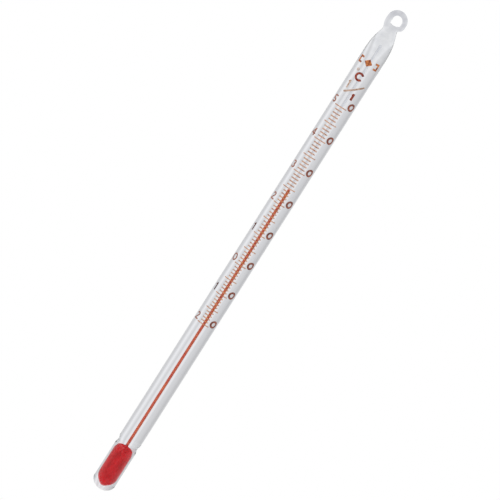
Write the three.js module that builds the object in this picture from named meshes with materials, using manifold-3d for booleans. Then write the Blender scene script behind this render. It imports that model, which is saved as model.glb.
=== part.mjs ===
// A solid-stem glass thermometer filled with red spirit, from -20 to +50 degrees Celsius.
// Millimetres, +Z up along the stem. The scale faces -Y, and the origin is the middle of the hanging ring.
// The heights named below are measured from the tip of the bulb.
import * as THREE from 'three';
import { mergeVertices } from 'three/addons/utils/BufferGeometryUtils.js';
import Module from 'manifold-3d';

const wasm = await Module();
wasm.setup();

// Glass
const OVERALL_LENGTH = 149.4;
const STEM_RADIUS = 3.2;
const BORE_RADIUS = 0.25;
const ROUND_SEGMENTS = 32;
const END_STEPS = 6; // up a rounded end
const FUSED_SEAM = 0.05; // between two pieces of glass that are melted together
const BULB_LENGTH = 14.4;
const BULB_WALL = 1.45;
const BULB_FLOOR = 1.7; // glass under the spirit
const BULB_END_HEIGHT = 2.6; // of the bulb's rounded end
const BULB_SHOULDER_HEIGHT = 2.2; // of the bulb's inner shoulder
const BULB_THROAT_HEIGHT = 0.8; // of the narrow way from the bulb to the bore
const WAIST_RADIUS = 2.9; // where the bulb is fused to the stem
const WAIST_HEIGHT = 1.4; // of the flare on each side of the waist
const NECK_START = 135.4;
const NECK_TOP_RADIUS = 1.85;
const NECK_TAPER_POWER = 2.6;
const NECK_STEPS = 8;
const BORE_END = 139.4;
const BORE_END_RADIUS = 0.36; // of the small bubble that ends the bore
const BORE_END_HEIGHT = 1.1;

// Hanging ring, a bent glass rod
const RING_ROD_RADIUS = 0.68;
const RING_OUTER_RADIUS = 2.75;
const RING_BEND_RADIUS = RING_OUTER_RADIUS - RING_ROD_RADIUS;
const RING_OFFSET = 0.1; // to the right of the stem's axis
const RING_CENTRE = OVERALL_LENGTH - RING_OUTER_RADIUS;
const RING_ROOT = [-1.85, -2.65]; // where the rod leaves the neck's left shoulder, from the ring's middle
const RING_START_DEG = 185; // from here the rod goes clockwise, over the top and back to its own root
const RING_END_DEG = -112;
const RING_BEND_POINTS = 12;
const RING_ROOT_DROP = 0.15; // of the neck's top below the rod's root
const RING_ROD_HALF_SIDES = 6; // flats on half of the rod's round
const RING_STEPS = 36;

// Spirit
const SPIRIT_CLEARANCE = 0.015; // to the bore's wall
const RESERVOIR_CLEARANCE = 0.05; // to the bulb's wall
const SPIRIT_SEGMENTS = 16;
const MENISCUS_LENGTH = 3;
const MENISCUS_DEPTH = 0.12;
const RESTING_CELSIUS = 24.4;

// Scale, fired on the stem in coloured enamel
const ZERO_HEIGHT = 71.76;
const DEGREE_HEIGHT = 0.9367; // of the first degree above zero
const SPIRIT_EXPANSION_GROWTH = 0.001762; // each degree is longer than the last by this share
const SCALE_LOWEST = -20;
const SCALE_HIGHEST = 50;
const LABEL_STEP = 10;
const HALF_STEP = 5;
const ENAMEL_LIFT = 0.02; // clear of the glass
const ENAMEL_THICKNESS = 0.05;
const ENAMEL_OUTER_RADIUS = STEM_RADIUS + ENAMEL_LIFT + ENAMEL_THICKNESS;
const LINE_WIDTH = 0.28;
const LINE_HALF_SEGMENTS = 6; // flats on half of a line
const LABEL_LINE_HALF_ANGLE_DEG = 31;
const HALF_LINE_HALF_ANGLE_DEG = 33;
const TENS_ANGLE_DEG = -49; // round the stem from the scale's middle
const UNITS_ANGLE_DEG = 48;
const NUMERAL_RISE = 1.12; // of a numeral's middle above its line
const NUMERAL_HEIGHT = 2.2;
const STROKE_WIDTH = 0.36;
const BOLD_STROKE_WIDTH = 0.54; // of the units' zeros
const FLAG_REACH = 0.45; // of a one's flag, to the left
const FLAG_DROP = 0.4; // of the flag's end below its root
const FLAG_WIDTH = 0.29;
const ARC_HALF_SEGMENTS = 8; // flats on half of a curved stroke
const ZERO_HALF_WIDTH = 0.85;
const BOLD_ZERO_HALF_WIDTH = 1.08;
const UPPER_BOWL = 0.42; // radius of a numeral's bowls, at the middle of the stroke
const LOWER_BOWL = 0.47;
const SLEEVE_HALF_HEIGHT = 2.5; // of the enamel sleeve that characters are cut from

// Characters above the scale: heights of their middles, and turns round the stem from the scale's middle
const DEGREE_SIGN = { height: 131.26, turnDeg: -26, radius: 0.4, stroke: 0.22 };
const LETTER_C = { height: 129.76, turnDeg: -1, radius: 0.93, stroke: 0.6, openingDeg: 68 };
const UPPER_ONE = { height: 126.82, turnDeg: -27, halfHeight: 1.12, stroke: 0.42 };
const SLASH = { height: 126.22, turnDeg: 10, halfWidth: 2.1, halfHeight: 1.7, stroke: 0.46 };
const LOWER_ONE = { height: 124.36, turnDeg: 22, halfHeight: 0.95, stroke: 0.62 };

// Plain mark below the neck
const MARK_HEIGHT = 133.96;
const LOZENGE_HALF_WIDTH = 1.15;
const LOZENGE_HALF_HEIGHT = 1.05;
const BRACKET_HALF_WIDTH = 0.62;
const BRACKET_HALF_HEIGHT = 1;
const BRACKET_STROKE = 0.5;
const BRACKET_TURN_DEG = 44;

const rad = THREE.MathUtils.degToRad;

const glass = new THREE.MeshStandardMaterial({
  color: 0xd8dfe4,
  roughness: 0.03,
  metalness: 0,
  transparent: true,
  opacity: 0.35,
});
const spirit = new THREE.MeshStandardMaterial({ color: 0xc8321e, roughness: 0.1, metalness: 0 });
const enamel = new THREE.MeshStandardMaterial({ color: 0x8c3c22, roughness: 0.45, metalness: 0 });
const orangeEnamel = new THREE.MeshStandardMaterial({ color: 0xb8501a, roughness: 0.45, metalness: 0 });

// The whole object, with its heights lowered to the ring's centre.
const thermometer = new THREE.Group();
thermometer.position.z = -RING_CENTRE;

function addPiece(name, geometry, material, height = 0, turnDeg = 0) {
  const mesh = new THREE.Mesh(geometry, material);
  mesh.name = name;
  mesh.position.z = height;
  mesh.rotation.z = rad(turnDeg);
  thermometer.add(mesh);
}

// A round body about the stem's axis, from a profile of [radius, height] points that goes up its outside.
function turned(profile, segments = ROUND_SEGMENTS) {
  const points = profile.map(([radius, height]) => new THREE.Vector2(radius, height));
  return new THREE.LatheGeometry(points, segments).rotateX(Math.PI / 2);
}

// A quarter of an ellipse as [radius, height] points, from the axis at poleHeight to the rim.
function roundEnd(radius, poleHeight, rimHeight) {
  return Array.from({ length: END_STEPS + 1 }, (_, i) => {
    const angle = (Math.PI / 2) * (i / END_STEPS);
    return [radius * Math.sin(angle), rimHeight + (poleHeight - rimHeight) * Math.cos(angle)];
  });
}

// The height of a temperature on the scale.
function heightOf(celsius) {
  return ZERO_HEIGHT + DEGREE_HEIGHT * (celsius + (SPIRIT_EXPANSION_GROWTH * celsius ** 2) / 2);
}

// ---- Glass ----

const bulbInnerRadius = STEM_RADIUS - BULB_WALL;
const bulbThroat = BULB_LENGTH - BULB_THROAT_HEIGHT;

// The inside of the bulb as [radius, height] points, from its lowest point up to the throat.
function bulbInside(clearance, throatRadius) {
  const radius = bulbInnerRadius - clearance;
  const rim = bulbThroat - BULB_SHOULDER_HEIGHT;
  return [
    ...roundEnd(radius, BULB_FLOOR + clearance, BULB_FLOOR + BULB_END_HEIGHT),
    ...roundEnd(radius, bulbThroat - clearance, rim)
      .reverse()
      .filter(([r]) => r > throatRadius),
    [throatRadius, bulbThroat - clearance],
  ];
}

function glassBulb() {
  return turned([
    ...roundEnd(STEM_RADIUS, 0, BULB_END_HEIGHT),
    [STEM_RADIUS, BULB_LENGTH - WAIST_HEIGHT],
    [WAIST_RADIUS, BULB_LENGTH],
    [BORE_RADIUS, BULB_LENGTH],
    ...bulbInside(0, BORE_RADIUS).reverse(),
  ]);
}

function glassStem() {
  const foot = BULB_LENGTH + FUSED_SEAM;
  return turned([
    [BORE_RADIUS, foot],
    [WAIST_RADIUS, foot],
    [STEM_RADIUS, foot + WAIST_HEIGHT],
    [STEM_RADIUS, NECK_START],
    [BORE_RADIUS, NECK_START],
    [BORE_RADIUS, foot],
  ]);
}

function glassNeck() {
  const foot = NECK_START + FUSED_SEAM;
  const top = RING_CENTRE + RING_ROOT[1] - RING_ROOT_DROP;
  const taper = Array.from({ length: NECK_STEPS + 1 }, (_, i) => {
    const rise = i / NECK_STEPS;
    const radius = STEM_RADIUS - (STEM_RADIUS - NECK_TOP_RADIUS) * rise ** NECK_TAPER_POWER;
    return [radius, foot + (top - foot) * rise];
  });
  return turned([
    [BORE_RADIUS, foot],
    ...taper,
    [0, top],
    [0, BORE_END],
    [BORE_END_RADIUS, BORE_END - BORE_END_RADIUS],
    [BORE_RADIUS, BORE_END - BORE_END_HEIGHT],
    [BORE_RADIUS, foot],
  ]);
}

// A rod that rises from the neck and bends nearly all the way round, in the plane that faces the reader.
function hangingRing() {
  const ends = [rad(RING_START_DEG), rad(RING_END_DEG)];
  const bend = new THREE.EllipseCurve(0, 0, RING_BEND_RADIUS, RING_BEND_RADIUS, ...ends, true);
  const points = [new THREE.Vector2(...RING_ROOT), ...bend.getPoints(RING_BEND_POINTS)];
  const path = new THREE.CatmullRomCurve3(points.map((p) => new THREE.Vector3(p.x, 0, p.y)));
  const section = new THREE.Shape().absarc(0, 0, RING_ROD_RADIUS, 0, 2 * Math.PI);
  return new THREE.ExtrudeGeometry(section, {
    steps: RING_STEPS,
    curveSegments: RING_ROD_HALF_SIDES,
    extrudePath: path,
  }).translate(RING_OFFSET, 0, 0);
}

addPiece('glass_bulb', glassBulb(), glass);
addPiece('glass_stem', glassStem(), glass);
addPiece('glass_neck', glassNeck(), glass);
addPiece('hanging_ring', hangingRing(), glass, RING_CENTRE);

// ---- Spirit ----

const threadRadius = BORE_RADIUS - SPIRIT_CLEARANCE;

function spiritReservoir() {
  const outside = bulbInside(RESERVOIR_CLEARANCE, threadRadius);
  return turned([...outside, [threadRadius, BULB_LENGTH], [0, BULB_LENGTH]]);
}

// The thread between the bulb and the meniscus.
function spiritColumn(length) {
  const upright = new THREE.CylinderGeometry(threadRadius, threadRadius, length, SPIRIT_SEGMENTS);
  return upright.rotateX(Math.PI / 2);
}

// The moving end of the thread, hollowed on top because the spirit wets the glass. Its rim is at height 0.
function spiritMeniscus() {
  const middle = [threadRadius / 2, -0.8 * MENISCUS_DEPTH];
  const profile = [[0, -MENISCUS_LENGTH], [threadRadius, -MENISCUS_LENGTH], [threadRadius, 0], middle];
  return turned([...profile, [0, -MENISCUS_DEPTH]], SPIRIT_SEGMENTS);
}

const readingHeight = heightOf(RESTING_CELSIUS);
const columnFoot = BULB_LENGTH + SPIRIT_CLEARANCE;
const columnTop = readingHeight - MENISCUS_LENGTH - SPIRIT_CLEARANCE;
addPiece('spirit_reservoir', spiritReservoir(), spirit);
addPiece('spirit_column', spiritColumn(columnTop - columnFoot), spirit, (columnTop + columnFoot) / 2);
addPiece('spirit_meniscus', spiritMeniscus(), spirit, readingHeight);

// ---- Graduations ----

// A line that runs round the front of the stem.
function graduation(halfAngleDeg) {
  const front = -Math.PI / 2;
  const start = front - rad(halfAngleDeg);
  const end = front + rad(halfAngleDeg);
  const shape = new THREE.Shape();
  shape.absarc(0, 0, ENAMEL_OUTER_RADIUS, start, end, false);
  shape.absarc(0, 0, STEM_RADIUS + ENAMEL_LIFT, end, start, true);
  return new THREE.ExtrudeGeometry(shape, {
    depth: LINE_WIDTH,
    bevelEnabled: false,
    curveSegments: LINE_HALF_SEGMENTS,
  }).translate(0, 0, -LINE_WIDTH / 2);
}

// "plus_40", "0" or "minus_10"
function labelOf(celsius) {
  const sign = ['minus_', '', 'plus_'][Math.sign(celsius) + 1];
  return sign + Math.abs(celsius);
}

const labelLine = graduation(LABEL_LINE_HALF_ANGLE_DEG);
const halfLine = graduation(HALF_LINE_HALF_ANGLE_DEG);
for (let celsius = SCALE_LOWEST; celsius <= SCALE_HIGHEST; celsius += HALF_STEP) {
  const labelled = celsius % LABEL_STEP === 0;
  const name = (labelled ? 'graduation_' : 'half_graduation_') + labelOf(celsius);
  addPiece(name, labelled ? labelLine : halfLine, enamel, heightOf(celsius));
}

// ---- Characters ----

function solidOf(geometry) {
  const bare = geometry.clone();
  bare.deleteAttribute('normal');
  bare.deleteAttribute('uv');
  const merged = mergeVertices(bare, 1e-5);
  return new wasm.Manifold(
    new wasm.Mesh({
      numProp: 3,
      vertProperties: merged.attributes.position.array,
      triVerts: new Uint32Array(merged.index.array),
    }),
  );
}

function geometryOf(solid) {
  const mesh = solid.getMesh();
  return new THREE.BufferGeometry()
    .setAttribute('position', new THREE.BufferAttribute(mesh.vertProperties, 3))
    .setIndex(new THREE.BufferAttribute(mesh.triVerts, 1));
}

// A thin sleeve of enamel round the stem, which characters are cut out of.
const sleeve = solidOf(
  turned([
    [STEM_RADIUS + ENAMEL_LIFT, -SLEEVE_HALF_HEIGHT],
    [ENAMEL_OUTER_RADIUS, -SLEEVE_HALF_HEIGHT],
    [ENAMEL_OUTER_RADIUS, SLEEVE_HALF_HEIGHT],
    [STEM_RADIUS + ENAMEL_LIFT, SLEEVE_HALF_HEIGHT],
    [STEM_RADIUS + ENAMEL_LIFT, -SLEEVE_HALF_HEIGHT],
  ]),
);

// A straight stroke between two points of a character, and a curved one round a centre, as flat shapes.
function bar(x0, y0, x1, y1, width = STROKE_WIDTH) {
  const along = new THREE.Vector2(x1 - x0, y1 - y0).setLength(width / 2);
  const corners = [[x0, y0, 1], [x0, y0, -1], [x1, y1, -1], [x1, y1, 1]];
  return new THREE.Shape(
    corners.map(([x, y, side]) => new THREE.Vector2(x - side * along.y, y + side * along.x)),
  );
}

function arc(x, y, radius, startDeg, endDeg, width = STROKE_WIDTH) {
  const shape = new THREE.Shape();
  shape.absarc(x, y, radius + width / 2, rad(startDeg), rad(endDeg), false);
  shape.absarc(x, y, radius - width / 2, rad(endDeg), rad(startDeg), true);
  return shape;
}

function loop(radiusX, radiusY, width = STROKE_WIDTH) {
  const shape = new THREE.Shape().absellipse(0, 0, radiusX, radiusY, 0, 2 * Math.PI);
  shape.holes.push(new THREE.Path().absellipse(0, 0, radiusX - width, radiusY - width, 0, 2 * Math.PI));
  return shape;
}

// A character's solid: its strokes, drawn out from the stem's axis towards the reader, cut the sleeve.
function character(strokes) {
  const prisms = strokes.map((shape) =>
    solidOf(
      new THREE.ExtrudeGeometry(shape, {
        depth: 2 * STEM_RADIUS,
        bevelEnabled: false,
        curveSegments: ARC_HALF_SEGMENTS,
      }).rotateX(Math.PI / 2),
    ),
  );
  const joined = prisms.reduce((whole, prism) => whole.add(prism));
  return geometryOf(joined.intersect(sleeve));
}

// Numerals, drawn about their middles.
const edge = NUMERAL_HEIGHT / 2;
const top = edge - STROKE_WIDTH / 2;
const numerals = {
  0: character([loop(ZERO_HALF_WIDTH, edge)]),
  1: character([bar(0, -edge, 0, edge), bar(-0.5, 0.52, 0.02, 0.93, 0.26)]),
  2: character([
    arc(0, top - UPPER_BOWL, UPPER_BOWL, -40, 175),
    bar(0.38, 0.28, -0.6, -top, 0.3),
    bar(-0.7, -top, 0.65, -top),
  ]),
  3: character([
    arc(0, top - UPPER_BOWL, UPPER_BOWL, -90, 165),
    arc(0, LOWER_BOWL - top, LOWER_BOWL, -165, 90),
  ]),
  4: character([
    bar(0.28, -edge, 0.28, edge),
    bar(0.28, top, -0.62, -0.35, 0.26),
    bar(-0.75, -0.42, 0.7, -0.42),
  ]),
  5: character([
    bar(-0.5, top, 0.6, top),
    bar(-0.42, top, -0.42, -0.1),
    arc(-0.08, LOWER_BOWL - top, LOWER_BOWL, -150, 140),
  ]),
};

const boldZero = character([loop(BOLD_ZERO_HALF_WIDTH, edge, BOLD_STROKE_WIDTH)]);
for (let celsius = SCALE_LOWEST; celsius <= SCALE_HIGHEST; celsius += LABEL_STEP) {
  const height = heightOf(celsius) + NUMERAL_RISE;
  const tens = Math.abs(celsius) / LABEL_STEP;
  addPiece('tens_numeral_' + labelOf(celsius), numerals[tens], enamel, height, TENS_ANGLE_DEG);
  addPiece('units_numeral_' + labelOf(celsius), boldZero, enamel, height, UNITS_ANGLE_DEG);
}

// Above the scale: the unit, and the division mark, which says that one line is one degree.
function addPrint(name, strokes, place, material = enamel) {
  addPiece(name, character(strokes), material, place.height, place.turnDeg);
}

addPrint('degree_sign', [loop(DEGREE_SIGN.radius, DEGREE_SIGN.radius, DEGREE_SIGN.stroke)], DEGREE_SIGN);

const opening = LETTER_C.openingDeg / 2;
addPrint('letter_c', [arc(0, 0, LETTER_C.radius, opening, 360 - opening, LETTER_C.stroke)], LETTER_C);

// A one, with its flag.
function one({ halfHeight, stroke }) {
  const root = halfHeight - FLAG_WIDTH / 2;
  const flag = bar(-FLAG_REACH, root - FLAG_DROP, 0, root, FLAG_WIDTH);
  return [bar(0, -halfHeight, 0, halfHeight, stroke), flag];
}

const { halfWidth, halfHeight } = SLASH;
addPrint('division_mark_upper_one', one(UPPER_ONE), UPPER_ONE);
const slash = bar(-halfWidth, -halfHeight, halfWidth, halfHeight, SLASH.stroke);
addPrint('division_mark_slash', [slash], SLASH);
addPrint('division_mark_lower_one', one(LOWER_ONE), LOWER_ONE);

// The plain mark: a lozenge between two brackets.
const lozenge = new THREE.Shape()
  .moveTo(0, -LOZENGE_HALF_HEIGHT)
  .lineTo(LOZENGE_HALF_WIDTH, 0)
  .lineTo(0, LOZENGE_HALF_HEIGHT)
  .lineTo(-LOZENGE_HALF_WIDTH, 0);
addPrint('mark_lozenge', [lozenge], { height: MARK_HEIGHT, turnDeg: 0 }, orangeEnamel);

// A bracket that opens towards the lozenge; side is -1 on the reader's left and 1 on the right.
function bracket(side) {
  const back = side * (BRACKET_HALF_WIDTH - BRACKET_STROKE / 2);
  const lip = BRACKET_HALF_HEIGHT - BRACKET_STROKE / 2;
  const tip = -side * BRACKET_HALF_WIDTH;
  return [
    bar(back, -BRACKET_HALF_HEIGHT, back, BRACKET_HALF_HEIGHT, BRACKET_STROKE),
    bar(tip, lip, back, lip, BRACKET_STROKE),
    bar(tip, -lip, back, -lip, BRACKET_STROKE),
  ];
}

for (const [name, side] of [['left', -1], ['right', 1]]) {
  const place = { height: MARK_HEIGHT, turnDeg: side * BRACKET_TURN_DEG };
  addPrint('mark_bracket_' + name, bracket(side), place, orangeEnamel);
}

export default thermometer;
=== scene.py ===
import math

import bmesh
import bpy
import numpy as np
from mathutils import Matrix, Vector


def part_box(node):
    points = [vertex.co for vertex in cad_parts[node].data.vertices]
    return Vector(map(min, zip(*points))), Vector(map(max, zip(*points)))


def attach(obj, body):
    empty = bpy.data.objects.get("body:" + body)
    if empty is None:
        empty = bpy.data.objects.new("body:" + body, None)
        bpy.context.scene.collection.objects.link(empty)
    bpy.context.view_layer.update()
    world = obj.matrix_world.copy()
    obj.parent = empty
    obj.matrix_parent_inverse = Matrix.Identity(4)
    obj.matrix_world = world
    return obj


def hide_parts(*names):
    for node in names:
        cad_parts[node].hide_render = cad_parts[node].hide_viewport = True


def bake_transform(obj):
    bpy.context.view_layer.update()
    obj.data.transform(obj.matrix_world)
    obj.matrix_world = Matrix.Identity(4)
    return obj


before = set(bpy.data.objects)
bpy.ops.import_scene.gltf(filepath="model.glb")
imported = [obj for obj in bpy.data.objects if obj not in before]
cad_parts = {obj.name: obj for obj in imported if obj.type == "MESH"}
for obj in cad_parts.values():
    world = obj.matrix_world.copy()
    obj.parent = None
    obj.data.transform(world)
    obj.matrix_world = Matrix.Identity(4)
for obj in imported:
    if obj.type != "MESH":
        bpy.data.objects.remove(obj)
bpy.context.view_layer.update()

# A glass stem thermometer. Lengths are in millimetres and heights are above the bulb's tip, unless a
# name says otherwise; build() turns them into the frame's metres.
MM = 0.001

# ---- Sizes, from the CAD nodes ----


def node_box(name):
    """A CAD node's box in mm, with heights above the bulb's tip."""
    low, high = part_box(name)
    lift = Vector((0, 0, TIP))
    return (low - lift) / MM, (high - lift) / MM


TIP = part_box("glass_bulb")[0].z
BULB = node_box("glass_bulb")
STEM = node_box("glass_stem")
NECK = node_box("glass_neck")
RING = node_box("hanging_ring")
RESERVOIR = node_box("spirit_reservoir")
COLUMN = node_box("spirit_column")
MENISCUS = node_box("spirit_meniscus")

STEM_RADIUS = STEM[1].x
WAIST = BULB[1].z
NECK_START = NECK[0].z
NECK_TOP = NECK[1].z
RING_OUTER = (RING[1].x - RING[0].x) / 2
RING_CENTRE = ((RING[1].x + RING[0].x) / 2, RING[1].z - RING_OUTER)

# Shapes that a box doesn't give.
BORE_RADIUS = 0.25
BULB_END_HEIGHT = 2.6
BULB_WALL = 1.45
BULB_FLOOR = 1.7  # glass under the spirit
SHOULDER_HEIGHT = 2.2  # over which the bulb's hollow narrows to the bore
THROAT_DROP = 0.8  # from the top of the reservoir's CAD node to the bore's lower end
THROAT_BLEND = 0.5
WAIST_DEPTH = 0.3
WAIST_HALF_HEIGHT = 1.5
UNEVENNESS = 0.012  # of the drawn glass, to either side
NECK_TOP_RADIUS = 1.68
NECK_TAPER_POWER = 2.6
NECK_LEAN = 0.1  # of the neck's top, to the reader's right
BORE_END = 139.4
BUBBLE_RADIUS = 0.36
BUBBLE_HEIGHT = 1.3
BUBBLE_WIDEST = 0.62  # of the bubble's height
MENISCUS_DEPTH = 0.16
WETTED = 0.005  # the spirit reaches this far into the glass, so that no air shows between them

ROUND_SEGMENTS = 128
BORE_SEGMENTS = 48
RESERVOIR_SEGMENTS = 64
THREAD_SEGMENTS = 32
JOIN_HEIGHT = 142.0  # where the turned glass meets the sculpted top
GRID_STEP = 0.13
DOME_RISE = 0.9  # how far the neck's rounded end reaches above NECK_TOP
DOME_BLEND = 1.2
FUSED_BLEND = 0.7  # how softly the ring's rod runs into the neck

# ---- Mesh helpers ----


def build(name, vertices, faces, body, stands_for=()):
    """A smooth mesh object from points in mm, riding on a body."""
    mesh = bpy.data.meshes.new(name)
    points = np.asarray(vertices, float) * MM + np.array((0, 0, TIP))
    mesh.from_pydata(points.tolist(), [], faces)
    mesh.validate()
    mesh.shade_smooth()
    piece = bpy.data.objects.new(name, mesh)
    bpy.context.scene.collection.objects.link(piece)
    if body:
        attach(piece, body)
    if stands_for:
        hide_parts(*stands_for)
    return piece


def lathe(profile, segments=ROUND_SEGMENTS, inward=False):
    """A surface turned about the stem's axis, from [radius, height] points going up."""
    vertices, rings, faces = [], [], []
    for radius, height in profile:
        if radius < 1e-9:
            rings.append([len(vertices)] * segments)
            vertices.append((0, 0, height))
            continue
        rings.append(list(range(len(vertices), len(vertices) + segments)))
        for i in range(segments):
            turn = 2 * math.pi * i / segments
            vertices.append((radius * math.cos(turn), radius * math.sin(turn), height))
    for low, high in zip(rings, rings[1:]):
        for i in range(segments):
            j = (i + 1) % segments
            corners = [low[i], low[j], high[j], high[i]]
            face = tuple(dict.fromkeys(corners))
            faces.append(face[::-1] if inward else face)
    return vertices, faces, rings


def joined(*parts):
    """Several (vertices, faces) lists as one."""
    vertices, faces = [], []
    for v, f in parts:
        base = len(vertices)
        vertices += [tuple(p) for p in v]
        faces += [tuple(base + i for i in face) for face in f]
    return vertices, faces


def smooth_min(a, b, width):
    """The lesser of a and b, rounded over where they are within width of each other."""
    share = np.clip(0.5 + 0.5 * (b - a) / width, 0, 1)
    return b + (a - b) * share - width * share * (1 - share)


def smooth_max(a, b, width):
    return -smooth_min(-a, -b, width)


def surface_net(field, low, high, step):
    """The surface field(points) = 0 in a box, as vertices and quads that face out of the negative side."""
    axes = [np.arange(low[k], high[k] + step, step) for k in range(3)]
    grid = np.stack(np.meshgrid(*axes, indexing="ij"), -1)
    values = field(grid.reshape(-1, 3)).reshape(grid.shape[:3])
    inside = values < 0
    cells = tuple(n - 1 for n in inside.shape)
    total, count = np.zeros(cells + (3,)), np.zeros(cells)

    def part(a, offset):
        return a[tuple(slice(o, o + n) for o, n in zip(offset, cells))]

    for axis in range(3):
        others = [k for k in range(3) if k != axis]
        for u in (0, 1):
            for v in (0, 1):
                start = [0, 0, 0]
                start[others[0]], start[others[1]] = u, v
                end = list(start)
                end[axis] = 1
                fa, fb = part(values, start), part(values, end)
                crossed = (fa < 0) != (fb < 0)
                share = np.where(crossed, fa / np.where(crossed, fa - fb, 1), 0)[..., None]
                at = part(grid, start) * (1 - share) + part(grid, end) * share
                total += np.where(crossed[..., None], at, 0)
                count += crossed
    used = count > 0
    number = -np.ones(cells, int)
    number[used] = np.arange(used.sum())
    points = total[used] / count[used][:, None]
    points = onto(field, points)
    faces = []
    for axis in range(3):
        b, c = (axis + 1) % 3, (axis + 2) % 3
        step_to = [0, 0, 0]
        step_to[axis] = 1
        size = [n - s for n, s in zip(inside.shape, step_to)]
        first = inside[: size[0], : size[1], : size[2]]
        second = inside[step_to[0] :, step_to[1] :, step_to[2] :]
        for at in np.argwhere(first != second):
            if not (0 < at[b] < cells[b] and 0 < at[c] < cells[c]):
                continue
            corners = []
            for db, dc in ((-1, -1), (0, -1), (0, 0), (-1, 0)):
                cell = at.copy()
                cell[b] += db
                cell[c] += dc
                corners.append(int(number[tuple(cell)]))
            faces.append(tuple(corners if first[tuple(at)] else corners[::-1]))
    return points, faces


def onto(field, points, rounds=4, reach=1e-3):
    """The points, moved onto the surface field = 0."""
    for _ in range(rounds):
        slope = np.empty_like(points)
        for k in range(3):
            shift = np.zeros(3)
            shift[k] = reach
            slope[:, k] = (field(points + shift) - field(points - shift)) / (2 * reach)
        square = np.maximum((slope**2).sum(1), 1e-6)
        points = points - slope * (field(points) / square)[:, None]
    return points


# ---- Glass ----


def outer_radius(height):
    """The stem's radius, with the waist over the bulb and the taper of the neck."""
    height = np.asarray(height, float)
    from_waist = np.clip(np.abs(height - WAIST) / WAIST_HALF_HEIGHT, 0, 1)
    waist = WAIST_DEPTH * (0.5 + 0.5 * np.cos(math.pi * from_waist))
    rise = np.clip((height - NECK_START) / (NECK_TOP - NECK_START), 0, 1.2)
    taper = (STEM_RADIUS - NECK_TOP_RADIUS) * rise**NECK_TAPER_POWER
    drawn = UNEVENNESS * np.sin(height * 0.37) * np.sin(height * 0.083)
    return STEM_RADIUS - UNEVENNESS - waist - taper + drawn


ROD_TURNS = (185, -118)  # where the bend starts and ends, in degrees round the ring
ROD_ALONG = (0, 0.12, 0.42, 0.62, 0.85, 1)  # parts of the bend's length
ROD_RADII = (0.76, 0.74, 0.7, 0.64, 0.62, 0.58)
LUMP = 0.2  # where the rod was pushed out as its end was pressed on
LUMP_TURN, LUMP_SPREAD = math.radians(-33), math.radians(16)


def rod_path():
    """The hanging ring's rod as [x, height, radius] rows, from the neck's left shoulder up and round."""
    turns = np.radians(np.linspace(*ROD_TURNS, 90))
    along = np.linspace(0, 1, len(turns))
    radius = np.interp(along, ROD_ALONG, ROD_RADII)
    lump = LUMP * np.exp(-(((turns - LUMP_TURN) / LUMP_SPREAD) ** 2))
    reach = RING_OUTER - radius + lump
    bend = np.stack(
        [RING_CENTRE[0] + reach * np.cos(turns), RING_CENTRE[1] + reach * np.sin(turns), radius], 1
    )
    root = np.array([RING_CENTRE[0] - 1.4, RING_CENTRE[1] - 2.95, 0.74])
    middle = np.array([RING_CENTRE[0] - 2.2, RING_CENTRE[1] - 1.35, 0.76])
    rise = np.linspace(0, 1, 14)[:-1, None]
    lead = root * (1 - rise) ** 2 + 2 * middle * rise * (1 - rise) + bend[0] * rise**2
    return np.concatenate([lead, bend])


ROD = rod_path()


def rod_field(points):
    """How far each point is outside the ring's rod."""
    best = np.full(len(points), 1e3)
    near = points[:, 2] > NECK_TOP - 3.5  # below this the rod is too far off to matter
    at = points[near]
    flat = at[:, [0, 2]]
    found = np.full(len(at), 1e3)
    for a, b in zip(ROD, ROD[1:]):
        line = b[:2] - a[:2]
        share = np.clip(((flat - a[:2]) @ line) / (line @ line), 0, 1)
        off = flat - a[:2] - share[:, None] * line
        away = np.sqrt((off**2).sum(1) + at[:, 1] ** 2) - (a[2] + (b[2] - a[2]) * share)
        found = np.minimum(found, away)
    best[near] = found
    return best


def top_field(points):
    """How far each point is outside the neck and the ring that is fused on it."""
    rise = np.clip((points[:, 2] - JOIN_HEIGHT) / (NECK_TOP - JOIN_HEIGHT), 0, 1)
    across = np.hypot(points[:, 0] - NECK_LEAN * rise**2, points[:, 1])
    side = across - outer_radius(points[:, 2])
    dome = smooth_max(side, points[:, 2] - (NECK_TOP + DOME_RISE), DOME_BLEND)
    return smooth_min(dome, rod_field(points), FUSED_BLEND)


def sculpted_top():
    """The glass above JOIN_HEIGHT, with its open edge's vertices in order round the stem."""
    reach = STEM_RADIUS + 0.2
    low = (-reach, -reach, JOIN_HEIGHT - 3 * GRID_STEP)
    high = (reach, reach, RING[1].z + 2 * GRID_STEP)
    points, faces = surface_net(top_field, low, high, GRID_STEP)
    bm = bmesh.new()
    made = [bm.verts.new(p) for p in points]
    for face in faces:
        bm.faces.new([made[i] for i in face])
    bmesh.ops.bisect_plane(
        bm,
        geom=bm.verts[:] + bm.edges[:] + bm.faces[:],
        plane_co=(0, 0, JOIN_HEIGHT),
        plane_no=(0, 0, 1),
        clear_inner=True,
        dist=GRID_STEP * 0.05,
    )
    bm.verts.index_update()
    vertices = np.array([v.co for v in bm.verts])
    edge = [v.index for v in bm.verts if any(e.is_boundary for e in v.link_edges)]
    faces = [tuple(v.index for v in f.verts) for f in bm.faces]
    bm.free()
    vertices[edge, 2] = JOIN_HEIGHT
    scale = float(outer_radius(JOIN_HEIGHT)) / np.hypot(vertices[edge, 0], vertices[edge, 1])
    vertices[edge, :2] *= scale[:, None]
    edge.sort(key=lambda i: math.atan2(vertices[i][1], vertices[i][0]) % (2 * math.pi))
    return vertices.tolist(), faces, edge


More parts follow.
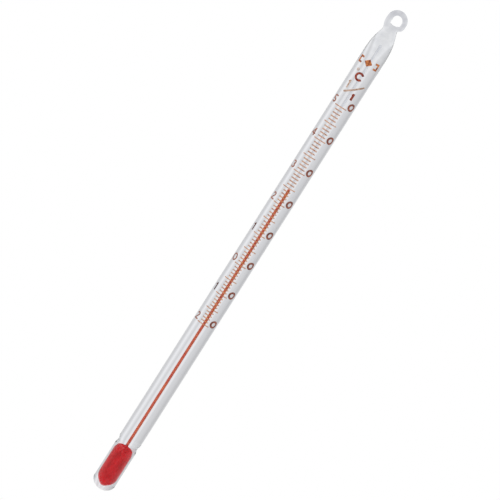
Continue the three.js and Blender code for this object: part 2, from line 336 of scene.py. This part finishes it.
def zipped(vertices, low, high):
    """Triangles between two rings of vertex numbers that both go round the stem from angle 0."""

    def turn_of(ring, i):
        x, y, _ = vertices[ring[i % len(ring)]]
        return math.atan2(y, x) % (2 * math.pi) + 2 * math.pi * (i // len(ring))

    faces, i, j = [], 0, 0
    while i < len(low) or j < len(high):
        if j >= len(high) or (i < len(low) and turn_of(low, i + 1) <= turn_of(high, j + 1)):
            faces.append((low[i % len(low)], low[(i + 1) % len(low)], high[j % len(high)]))
            i += 1
        else:
            faces.append((low[i % len(low)], high[(j + 1) % len(high)], high[j % len(high)]))
            j += 1
    return faces


def outer_glass():
    """The outside of the glass: turned up to JOIN_HEIGHT, and sculpted above it."""
    turned = [(0, 0)]
    for i in range(1, 25):
        angle = math.pi / 2 * i / 24
        height = BULB_END_HEIGHT * (1 - math.cos(angle))
        turned.append((STEM_RADIUS * math.sin(angle), height))
    heights = np.concatenate(
        [
            np.arange(BULB_END_HEIGHT + 0.8, WAIST - WAIST_HALF_HEIGHT, 1.0),
            np.linspace(WAIST - WAIST_HALF_HEIGHT, WAIST + WAIST_HALF_HEIGHT, 17),
            np.arange(WAIST + WAIST_HALF_HEIGHT + 2, NECK_START, 2.0),
            np.arange(NECK_START, JOIN_HEIGHT - GRID_STEP, 0.4),
        ]
    )
    turned += [(float(outer_radius(h)), float(h)) for h in heights]
    low_v, low_f, rings = lathe(turned)
    top_v, top_f, edge = sculpted_top()
    vertices, faces = joined((low_v, low_f), (top_v, top_f))
    faces += zipped(vertices, rings[-1], [i + len(low_v) for i in edge])
    return vertices, faces


def cavity_profile(grow=0.0, top=None):
    """The hollow inside the glass, from its lowest point up the bore, as [radius, height] points.

    grow widens it; top, if given, closes it at that height instead of with the bubble.
    """
    radius = STEM_RADIUS - BULB_WALL
    rim = BULB_FLOOR + BULB_END_HEIGHT
    points = [(0, BULB_FLOOR - grow)]
    for i in range(1, 17):
        angle = math.pi / 2 * i / 16
        height = rim - (BULB_END_HEIGHT + grow) * math.cos(angle)
        points.append(((radius + grow) * math.sin(angle), height))
    throat = RESERVOIR[1].z - THROAT_DROP
    shoulder = throat - SHOULDER_HEIGHT
    points += [(radius + grow, float(h)) for h in np.arange(rim + 1, shoulder, 1.0)]
    for i in range(30):
        angle = math.pi / 2 * i / 30
        across = float(smooth_max(radius * math.cos(angle), BORE_RADIUS, THROAT_BLEND))
        points.append((across + grow, shoulder + (throat + 0.5 - shoulder) * math.sin(angle)))
    end = BORE_END - BUBBLE_HEIGHT if top is None else top
    points += [(BORE_RADIUS + grow, float(h)) for h in np.linspace(throat + 0.9, end, 60)]
    if top is not None:
        return points + [(0, top)]
    for i in range(1, 12):
        share = i / 12
        if share < BUBBLE_WIDEST:
            swell = math.sin(math.pi * (share / BUBBLE_WIDEST) / 2) ** 2
            across = BORE_RADIUS + (BUBBLE_RADIUS - BORE_RADIUS) * swell
        else:
            closing = (share - BUBBLE_WIDEST) / (1 - BUBBLE_WIDEST)
            across = BUBBLE_RADIUS * math.cos(math.pi / 2 * closing)
        points.append((across, end + BUBBLE_HEIGHT * share))
    return points + [(0, BORE_END)]


def glass_piece():
    outside = outer_glass()
    inside = lathe(cavity_profile(), BORE_SEGMENTS, inward=True)[:2]
    vertices, faces = joined(outside, inside)
    nodes = ("glass_bulb", "glass_stem", "glass_neck", "hanging_ring")
    return build("glass", vertices, faces, "root", nodes)


# ---- Spirit ----


def reservoir_piece():
    vertices, faces, _ = lathe(cavity_profile(WETTED, RESERVOIR[1].z), RESERVOIR_SEGMENTS)
    return build("spirit_in_bulb", vertices, faces, "root", ["spirit_reservoir"])


def thread_piece():
    """The thread from the bulb to the foot of the meniscus."""
    radius = BORE_RADIUS + WETTED
    low, high = RESERVOIR[1].z - 0.1, COLUMN[1].z + 0.05
    heights = np.linspace(low, high, 90)
    profile = [(0, low)] + [(radius, float(h)) for h in heights] + [(0, high)]
    vertices, faces, _ = lathe(profile, THREAD_SEGMENTS)
    piece = build("spirit_thread", vertices, faces, None, ["spirit_column"])
    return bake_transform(piece)


def meniscus_piece():
    """The thread's top end, hollowed where the spirit climbs the bore's wall."""
    radius = BORE_RADIUS + WETTED
    low, high = MENISCUS[0].z, MENISCUS[1].z
    profile = [(0, low)] + [(radius, float(h)) for h in np.linspace(low, high, 12)]
    for i in range(1, 8):
        share = i / 8
        profile.append((radius * (1 - share), high - MENISCUS_DEPTH * math.sin(math.pi / 2 * share)))
    profile.append((0, high - MENISCUS_DEPTH))
    vertices, faces, _ = lathe(profile, THREAD_SEGMENTS)
    return build("meniscus", vertices, faces, "meniscus", ["spirit_meniscus"])


# ---- One-degree lines ----

SHORT_LINE_HALF_ANGLE = math.radians(19)
SHORT_LINE_STEPS = 12
LINE_HALF_WIDTH = 0.17
LINE_FOOT, LINE_TOP = 0.012, 0.055  # how far the enamel's two faces are outside the stem's radius
LINE_BEVEL = 0.75  # the outer face's width, as a part of the whole


def label_of(celsius):
    """A temperature as the CAD's node names spell it."""
    sign = "plus_" if celsius > 0 else "minus_" if celsius < 0 else ""
    return sign + str(abs(celsius))


def scale_law():
    """The height of a temperature, as a polynomial through the CAD's graduations."""
    degrees = list(range(-20, 51, 5))
    middles = []
    for celsius in degrees:
        kind = "graduation_" if celsius % 10 == 0 else "half_graduation_"
        low, high = node_box(kind + label_of(celsius))
        middles.append((low.z + high.z) / 2)
    return np.polynomial.Polynomial.fit(degrees, middles, 2)


def degree_lines_piece():
    height_of = scale_law()
    inner, outer = STEM_RADIUS + LINE_FOOT, STEM_RADIUS + LINE_TOP
    section = ((inner, -1), (outer, -LINE_BEVEL), (outer, LINE_BEVEL), (inner, 1))
    vertices, faces = [], []
    for celsius in range(-20, 50):
        if celsius % 5 == 0:
            continue
        height = float(height_of(celsius))
        base = len(vertices)
        for i in range(SHORT_LINE_STEPS + 1):
            turn = -math.pi / 2 + SHORT_LINE_HALF_ANGLE * (2 * i / SHORT_LINE_STEPS - 1)
            for radius, rise in section:
                at = height + rise * LINE_HALF_WIDTH
                vertices.append((radius * math.cos(turn), radius * math.sin(turn), at))
        for i in range(SHORT_LINE_STEPS):
            a, b = base + 4 * i, base + 4 * (i + 1)
            for k in range(4):
                n = (k + 1) % 4
                faces.append((a + k, b + k, b + n, a + n))
        end = base + 4 * SHORT_LINE_STEPS
        faces += [(base + 3, base + 2, base + 1, base), (end, end + 1, end + 2, end + 3)]
    return build("one_degree_lines", vertices, faces, "root")


# ---- Materials ----

GLASS_IOR = 1.5
TOP_IOR = 1.05
SOFT_BEND = (131.9, 140.9)  # heights between which the one gives way to the other


class Nodes:
    """A short way to write a material's node tree."""

    def __init__(self, name):
        self.material = bpy.data.materials.new(name)
        self.material.use_nodes = True
        self.tree = self.material.node_tree
        self.shader = self.tree.nodes["Principled BSDF"]
        place = self.add("ShaderNodeTexCoord")
        self.place = place.outputs["Object"]

    def add(self, kind, **settings):
        node = self.tree.nodes.new(kind)
        for key, value in settings.items():
            setattr(node, key, value)
        return node

    def link(self, output, node, socket):
        found = [s for s in node.inputs if s.name == socket and s.enabled]
        self.tree.links.new(output, found[0])

    def set(self, **values):
        for key, value in values.items():
            self.shader.inputs[key.replace("_", " ")].default_value = value

    def stretched(self, x, y, z):
        """The object's coordinates in metres, times a factor on each axis."""
        node = self.add("ShaderNodeMapping")
        node.inputs["Scale"].default_value = (x, y, z)
        self.link(self.place, node, "Vector")
        return node.outputs["Vector"]

    def noise(self, vector, detail=3.0, roughness=0.55):
        node = self.add("ShaderNodeTexNoise")
        node.inputs["Scale"].default_value = 1.0
        node.inputs["Detail"].default_value = detail
        node.inputs["Roughness"].default_value = roughness
        self.link(vector, node, "Vector")
        return node.outputs["Fac"]

    def ramp(self, factor, *stops):
        node = self.add("ShaderNodeValToRGB")
        elements = node.color_ramp.elements
        while len(elements) < len(stops):
            elements.new(0.5)
        for element, (position, colour) in zip(elements, stops):
            element.position = position
            element.color = (*colour, 1)
        self.link(factor, node, "Fac")
        return node.outputs["Color"]

    def range(self, factor, low, high):
        node = self.add("ShaderNodeMapRange")
        node.inputs["To Min"].default_value = low
        node.inputs["To Max"].default_value = high
        self.link(factor, node, "Value")
        return node.outputs["Result"]

    def bump(self, height, strength, distance):
        node = self.add("ShaderNodeBump")
        node.inputs["Strength"].default_value = strength
        node.inputs["Distance"].default_value = distance
        self.link(height, node, "Height")
        self.link(node.outputs["Normal"], self.shader, "Normal")


def glass_material():
    """Clear glass that bends light less towards the ring, or the neck would pipe up the red of the bulb. Its
    tint is darker and mottled on the neck, and darker still on the ring: painted shade.
    """
    m = Nodes("drawn_glass")
    m.set(Roughness=0.012, Transmission_Weight=1.0)
    height = m.add("ShaderNodeSeparateXYZ")
    m.link(m.place, height, "Vector")

    def above(low, high):
        """A factor that rises from 0 to 1 between two heights."""
        factor = m.range(height.outputs["Z"], 0, 1)
        factor.node.inputs["From Min"].default_value = TIP + low * MM
        factor.node.inputs["From Max"].default_value = TIP + high * MM
        return factor

    def mixed(factor, a, b):
        node = m.add("ShaderNodeMix", data_type="RGBA")
        for socket, output in (("Factor", factor), ("A", a), ("B", b)):
            m.link(output, node, socket)
        return next(o for o in node.outputs if o.enabled)

    lower_ior_and_shade = above(*SOFT_BEND)
    m.link(m.range(lower_ior_and_shade, GLASS_IOR, TOP_IOR), m.shader, "IOR")
    streaks = m.noise(m.stretched(1500, 1500, 30), 2.0)  # along the glass, from its drawing
    drawn = m.ramp(streaks, (0.3, (0.885, 0.895, 0.93)), (0.7, (0.925, 0.93, 0.955)))
    # Painted shade: the neck's glass gets a darker, mottled tint than the stem, and the ring a darker one
    # still.
    painted_shade_patches = m.noise(m.stretched(420, 420, 420), 2.0)
    neck = m.ramp(painted_shade_patches, (0.36, (0.76, 0.775, 0.81)), (0.62, (0.93, 0.94, 0.96)))
    ring = m.ramp(painted_shade_patches, (0.36, (0.66, 0.67, 0.715)), (0.62, (0.86, 0.87, 0.9)))
    top = mixed(above(NECK_TOP - 0.5, NECK_TOP + 1), neck, ring)
    m.link(mixed(lower_ior_and_shade, drawn, top), m.shader, "Base Color")
    m.bump(m.noise(m.stretched(900, 900, 60), 2.0), 0.12, 0.00002)
    return m.material


def spirit_material(name, deep, middle, bright, roughness):
    m = Nodes(name)
    m.set(IOR=1.36, Specular_IOR_Level=0.25)
    density = m.noise(m.stretched(900, 900, 330), 3.0)
    m.link(m.ramp(density, (0.34, deep), (0.5, middle), (0.66, bright)), m.shader, "Base Color")
    m.link(m.range(density, roughness * 0.7, roughness * 1.3), m.shader, "Roughness")
    m.bump(m.noise(m.stretched(2500, 2500, 900), 2.0), 0.08, 0.00001)
    return m.material


def enamel_material(name, thick, thin, cover=1.0):
    """Fired enamel: thinner and paler in patches, slightly grained. It is see-through if cover is below 1."""
    m = Nodes(name)
    m.set(IOR=1.52, Alpha=cover)
    patches = m.noise(m.stretched(1700, 1700, 1700), 4.0, 0.65)
    m.link(m.ramp(patches, (0.42, thick), (0.58, thin)), m.shader, "Base Color")
    m.link(m.range(patches, 0.3, 0.6), m.shader, "Roughness")
    m.bump(m.noise(m.stretched(9000, 9000, 9000), 3.0), 0.25, 0.00002)
    return m.material


def floor_material():
    m = Nodes("pale_floor")
    mottle = m.noise(m.stretched(25, 25, 25), 3.0)
    m.link(m.ramp(mottle, (0.3, (0.86, 0.86, 0.86)), (0.7, (0.9, 0.9, 0.9))), m.shader, "Base Color")
    m.link(m.range(mottle, 0.55, 0.7), m.shader, "Roughness")
    return m.material


def paint(piece, material):
    if not piece.material_slots:
        piece.data.materials.append(material)
    for slot in piece.material_slots:
        slot.material = material


# The spirit's reds, from deep to bright, and its roughness.
COLUMN_SPIRIT = ((0.8, 0.105, 0.066), (0.89, 0.15, 0.076), (0.95, 0.205, 0.086), 0.22)
BULB_SPIRIT = ((0.7, 0.001, 0.006), (0.86, 0.003, 0.01), (0.98, 0.008, 0.018), 0.2)

glass = glass_piece()
reservoir = reservoir_piece()
thread = thread_piece()
meniscus = meniscus_piece()
degree_lines = degree_lines_piece()

paint(glass, glass_material())
column_red = spirit_material("column_spirit", *COLUMN_SPIRIT)
paint(thread, column_red)
paint(meniscus, column_red)
paint(reservoir, spirit_material("bulb_spirit", *BULB_SPIRIT))

ochre_enamel = enamel_material("ochre_enamel", (0.55, 0.2, 0.07), (0.8, 0.41, 0.18), 0.56)
brown_enamel = enamel_material("brown_enamel", (0.15, 0.032, 0.018), (0.36, 0.1, 0.055))
light_brown_enamel = enamel_material("light_brown_enamel", (0.24, 0.07, 0.04), (0.48, 0.18, 0.11))
dark_brown_enamel = enamel_material("dark_brown_enamel", (0.05, 0.01, 0.006), (0.14, 0.032, 0.018))
faded_enamel = enamel_material("faded_enamel", (0.4, 0.24, 0.16), (0.66, 0.47, 0.37))
red_enamel = enamel_material("red_brown_enamel", (0.2, 0.018, 0.01), (0.42, 0.07, 0.03))
orange_enamel = enamel_material("orange_enamel", (0.24, 0.035, 0.012), (0.72, 0.24, 0.06))
FADED_NODES = ("degree_sign", "division_mark_slash", "division_mark_upper_one")
DARK_TENS = ("tens_numeral_minus_10", "tens_numeral_plus_10")
RED_NODES = ("letter_c", "division_mark_lower_one")
for name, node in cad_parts.items():
    if name.startswith("mark_"):
        paint(node, orange_enamel)
    elif name in RED_NODES:
        paint(node, red_enamel)
    elif name in FADED_NODES:
        paint(node, faded_enamel)
    elif name.startswith("tens"):
        paint(node, dark_brown_enamel if name in DARK_TENS else light_brown_enamel)
    elif "graduation" in name:
        paint(node, ochre_enamel)
    else:
        paint(node, brown_enamel)
paint(degree_lines, ochre_enamel)

# ---- Floor, light and camera ----

FLOOR_DROP = 0.25  # metres below the bulb's tip
FLOOR_RADIUS = 0.45


def make_floor():
    bm = bmesh.new()
    bmesh.ops.create_circle(bm, cap_ends=True, segments=96, radius=FLOOR_RADIUS)
    mesh = bpy.data.meshes.new("floor")
    bm.to_mesh(mesh)
    bm.free()
    floor = bpy.data.objects.new("floor", mesh)
    floor.location.z = TIP - FLOOR_DROP
    bpy.context.scene.collection.objects.link(floor)
    paint(floor, floor_material())


make_floor()

# The studio round the thermometer, by the angle round the stem from the camera's line of sight. Positive is
# the reader's right. The brightness changes evenly from one place to the next. The camera itself sees a
# plain white surround.
ROOM = 0.5  # behind the camera
WALLS = (
    (-140, ROOM),
    (-110, 0.8),  # tall lamp on the left
    (-90, 0.85),
    (-80, 0.75),
    (-60, 0.6),  # grey screen
    (-45, 0.55),
    (-25, 0.7),
    (-15, 0.75),
    (-10, 0.9),  # two white cards, with the far wall between them
    (0, 0.8),
    (10, 0.9),
    (17, 0.7),
    (30, 0.95),  # lit card on the right
    (45, 0.7),
    (60, 0.7),
    (75, 0.85),  # pale right wall
    (95, 0.85),
    (140, ROOM),
)
CEILING = 0.75
CEILING_RISE = (0.55, 0.85)  # how steep a ray is, as the sine, where the walls give way to the ceiling
CAMERA_TURN = math.radians(5)  # the camera's place, to the reader's right of the scale's middle


def make_world():
    world = bpy.data.worlds.new("studio")
    bpy.context.scene.world = world
    world.use_nodes = True
    tree = world.node_tree
    tree.nodes.clear()

    def add(kind, **settings):
        node = tree.nodes.new(kind)
        for key, value in settings.items():
            setattr(node, key, value)
        return node

    def math_node(operation, a, b=None):
        node = add("ShaderNodeMath", operation=operation)
        for socket, value in zip(node.inputs, (a, b)):
            if isinstance(value, (int, float)):
                socket.default_value = value
            elif value is not None:
                tree.links.new(value, socket)
        return node.outputs["Value"]

    direction = add("ShaderNodeSeparateXYZ")
    tree.links.new(add("ShaderNodeTexCoord").outputs["Generated"], direction.inputs["Vector"])
    turn = math_node("ARCTAN2", direction.outputs["X"], direction.outputs["Y"])
    along = math_node("MULTIPLY_ADD", turn, 0.5 / math.pi)
    along.node.inputs[2].default_value = 0.5 + CAMERA_TURN / (2 * math.pi)
    walls = add("ShaderNodeValToRGB")
    elements = walls.color_ramp.elements
    while len(elements) < len(WALLS):
        elements.new(0.5)
    for element, (degrees, grey) in zip(elements, WALLS):
        element.position = (degrees + 180) / 360
        element.color = (grey, grey, grey, 1)
    tree.links.new(along, walls.inputs["Fac"])
    above = add("ShaderNodeMapRange", interpolation_type="SMOOTHSTEP")
    above.inputs["From Min"].default_value, above.inputs["From Max"].default_value = CEILING_RISE
    tree.links.new(direction.outputs["Z"], above.inputs["Value"])
    room = add("ShaderNodeMix", data_type="RGBA")
    tree.links.new(above.outputs["Result"], room.inputs["Factor"])
    tree.links.new(walls.outputs["Color"], room.inputs["A"])
    room.inputs["B"].default_value = (CEILING, CEILING, CEILING, 1)
    lit = add("ShaderNodeBackground")
    tree.links.new(room.outputs["Result"], lit.inputs["Color"])
    seen = add("ShaderNodeBackground")
    seen.inputs["Color"].default_value = (1, 1, 1, 1)
    chosen = add("ShaderNodeMixShader")
    tree.links.new(add("ShaderNodeLightPath").outputs["Is Camera Ray"], chosen.inputs[0])
    tree.links.new(lit.outputs["Background"], chosen.inputs[1])
    tree.links.new(seen.outputs["Background"], chosen.inputs[2])
    tree.links.new(chosen.outputs["Shader"], add("ShaderNodeOutputWorld").inputs["Surface"])


make_world()

MIDDLE = Vector((0, 0, TIP + 76 * MM))  # what the middle of the picture shows


def soft_light(name, place, size, power):
    """A square soft light that faces the thermometer."""
    data = bpy.data.lights.new(name, "AREA")
    data.shape = "SQUARE"
    data.size = size
    data.energy = power
    light = bpy.data.objects.new(name, data)
    light.location = place
    light.rotation_mode = "QUATERNION"
    light.rotation_quaternion = (MIDDLE - Vector(place)).to_track_quat("-Z", "Y")
    bpy.context.scene.collection.objects.link(light)


soft_light("key", (-0.8, -1.1, 0.9), 2.0, 9)
soft_light("overhead", (0.1, 0.1, 1.3), 2.0, 12)

CAMERA_DISTANCE = 0.7
CAMERA_RISE = math.radians(11)
CAMERA_ROLL = math.radians(32.41)
AIM_SIDE = -0.22  # mm to the reader's right of the stem's axis
PIXELS_PER_METRE = 3850
PICTURE = 500


def make_camera():
    data = bpy.data.cameras.new("camera")
    data.sensor_width = 36
    data.lens = data.sensor_width * PIXELS_PER_METRE * CAMERA_DISTANCE / PICTURE
    data.clip_start, data.clip_end = 0.01, 50
    camera = bpy.data.objects.new("camera", data)
    flat = math.cos(CAMERA_RISE)
    back = Vector((math.sin(CAMERA_TURN) * flat, -math.cos(CAMERA_TURN) * flat, math.sin(CAMERA_RISE)))
    right = Vector((math.cos(CAMERA_TURN), math.sin(CAMERA_TURN), 0))
    up = back.cross(right)
    turned_right = right * math.cos(CAMERA_ROLL) + up * math.sin(CAMERA_ROLL)
    turned_up = up * math.cos(CAMERA_ROLL) - right * math.sin(CAMERA_ROLL)
    place = Matrix((turned_right, turned_up, back)).transposed().to_4x4()
    place.translation = MIDDLE + right * AIM_SIDE * MM + back * CAMERA_DISTANCE
    camera.matrix_world = place
    bpy.context.scene.collection.objects.link(camera)
    bpy.context.scene.camera = camera


make_camera()
bpy.context.scene.view_settings.view_transform = "Standard"
bpy.context.scene.view_settings.look = "None"
